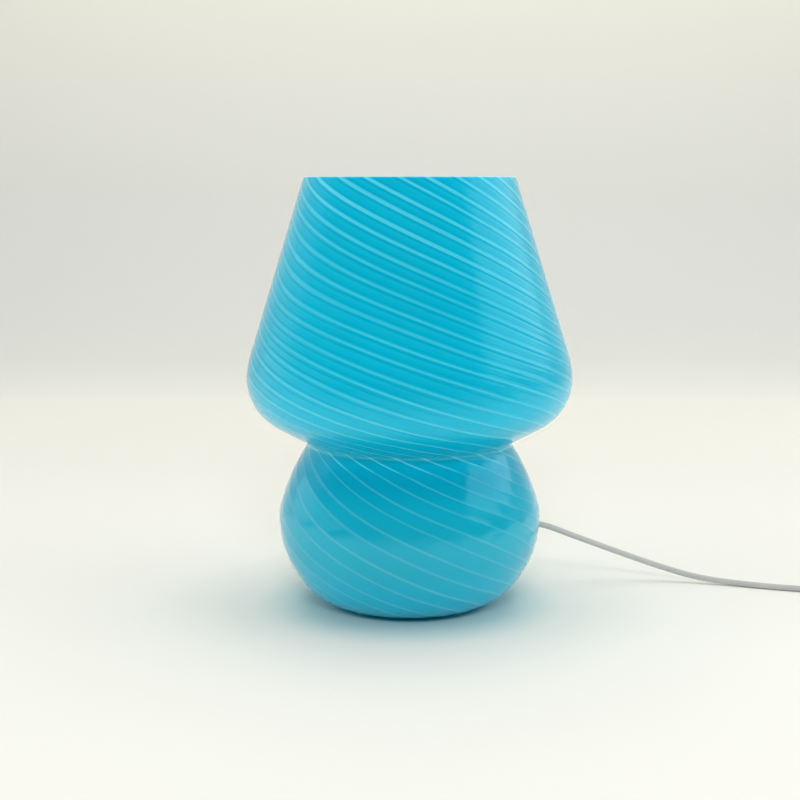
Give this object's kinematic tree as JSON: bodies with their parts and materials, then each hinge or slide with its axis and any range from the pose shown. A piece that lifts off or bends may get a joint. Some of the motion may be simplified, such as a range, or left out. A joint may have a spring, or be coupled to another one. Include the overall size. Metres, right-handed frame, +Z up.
{
  "type": "mushroom table lamp",
  "caption": "Blown glass mushroom table lamp in one piece, swirled stripes, bulb on a neck bracket, corded rocker switch and moulded plug",
  "frame": {"origin": "under the middle of the foot, on the surface the pads stand on", "axes": "+Z up along the lamp's axis of revolution, +X towards the side where the cord leaves, -Y towards the viewer"},
  "size_m": [0.4765, 0.1956, 0.238],
  "materials": {
    "blown_glass": "opaque coloured blown glass, glossy, with pale swirled stripes",
    "clear_silicone": "matt silicone",
    "white_rubber": "matt",
    "white_plastic": "semi-gloss moulded",
    "zinc_steel": "zinc plated",
    "matt_white_plastic": "matt moulded",
    "brass": "bare brass",
    "nickel": "nickel plated",
    "dark_plastic": "matt moulded",
    "opal_plastic": "opal, satin",
    "board": "lacquered board",
    "chip": "phosphor",
    "cord_white": "soft vinyl, satin",
    "wire": "soft vinyl"
  },
  "bodies": {
    "lamp": {"glass_body": "blown_glass", "foot_pads": "clear_silicone", "cord_grommet": "white_rubber", "cord_stop": "white_plastic", "cord_stop_screw": "zinc_steel", "spider_bracket": "zinc_steel", "spider_tips": "clear_silicone", "clamp_bar": "zinc_steel", "clamp_tips": "clear_silicone", "threaded_nipple": "zinc_steel", "nipple_nuts": "zinc_steel", "nipple_washers": "zinc_steel", "nipple_bush": "matt_white_plastic", "holder_cap": "white_plastic", "holder_lock_screw": "zinc_steel", "holder_shell": "white_plastic", "holder_insert": "matt_white_plastic", "holder_terminals": "brass", "holder_terminal_screws": "zinc_steel", "screw_sleeve": "brass", "centre_contact": "brass", "inner_cord": "cord_white", "holder_wires": "wire", "switch_base": "white_plastic", "switch_cover": "white_plastic", "switch_case_screws": "zinc_steel", "switch_boots": "white_rubber", "switch_saddles": "matt_white_plastic", "switch_saddle_screws": "zinc_steel", "switch_contact_in": "brass", "switch_contact_out": "brass", "switch_neutral_bar": "brass", "switch_terminal_screws": "zinc_steel", "switch_wires": "wire", "cord_to_switch": "cord_white", "cord_to_coil": "cord_white", "cord_to_plug": "cord_white", "cord_coil": "cord_white", "cord_tie": "white_rubber", "plug_body": "white_rubber", "plug_insert": "white_plastic", "plug_pins": "nickel", "plug_sleeves": "dark_plastic", "plug_wires": "wire"},
    "rocker": {"switch_rocker": "white_plastic", "switch_plunger": "matt_white_plastic", "switch_spring": "zinc_steel"},
    "bridge": {"switch_bridge": "brass"},
    "bulb_lift": {"bulb_contact": "nickel", "bulb_insulator": "dark_plastic"},
    "bulb": {"bulb_cap": "nickel", "bulb_housing": "white_plastic", "bulb_globe": "opal_plastic", "led_board": "board", "led_chips": "chip", "driver_board": "board", "driver_parts": "dark_plastic"}
  },
  "joints": [
    {"name": "rocker_tilt", "type": "hinge", "parent": "lamp", "child": "rocker", "pos_m": [0.318, -0.002, 0.0124], "axis": [0.1392, 0.9903, 0], "range_deg": [0, 20]},
    {"name": "bridge_tilt", "type": "hinge", "parent": "lamp", "child": "bridge", "pos_m": [0.318, -0.002, 0.0049], "axis": [0.1392, 0.9903, 0], "range_deg": [-12, 0]},
    {"name": "bulb_turn", "type": "hinge", "parent": "bulb_lift", "child": "bulb", "pos_m": [0, 0, 0.15], "axis": [0, 0, 1], "range_deg": [0, 1440]},
    {"name": "bulb_rise", "type": "slide", "parent": "lamp", "child": "bulb_lift", "axis": [0, 0, 1], "range_m": [0, 0.01127]}
  ],
  "couplings": [
    {"joint": "bridge_tilt", "follows": "rocker_tilt", "ratio": -0.6},
    {"joint": "bulb_turn", "follows": "bulb_rise", "rad_per_m": 2228.1}
  ]
}
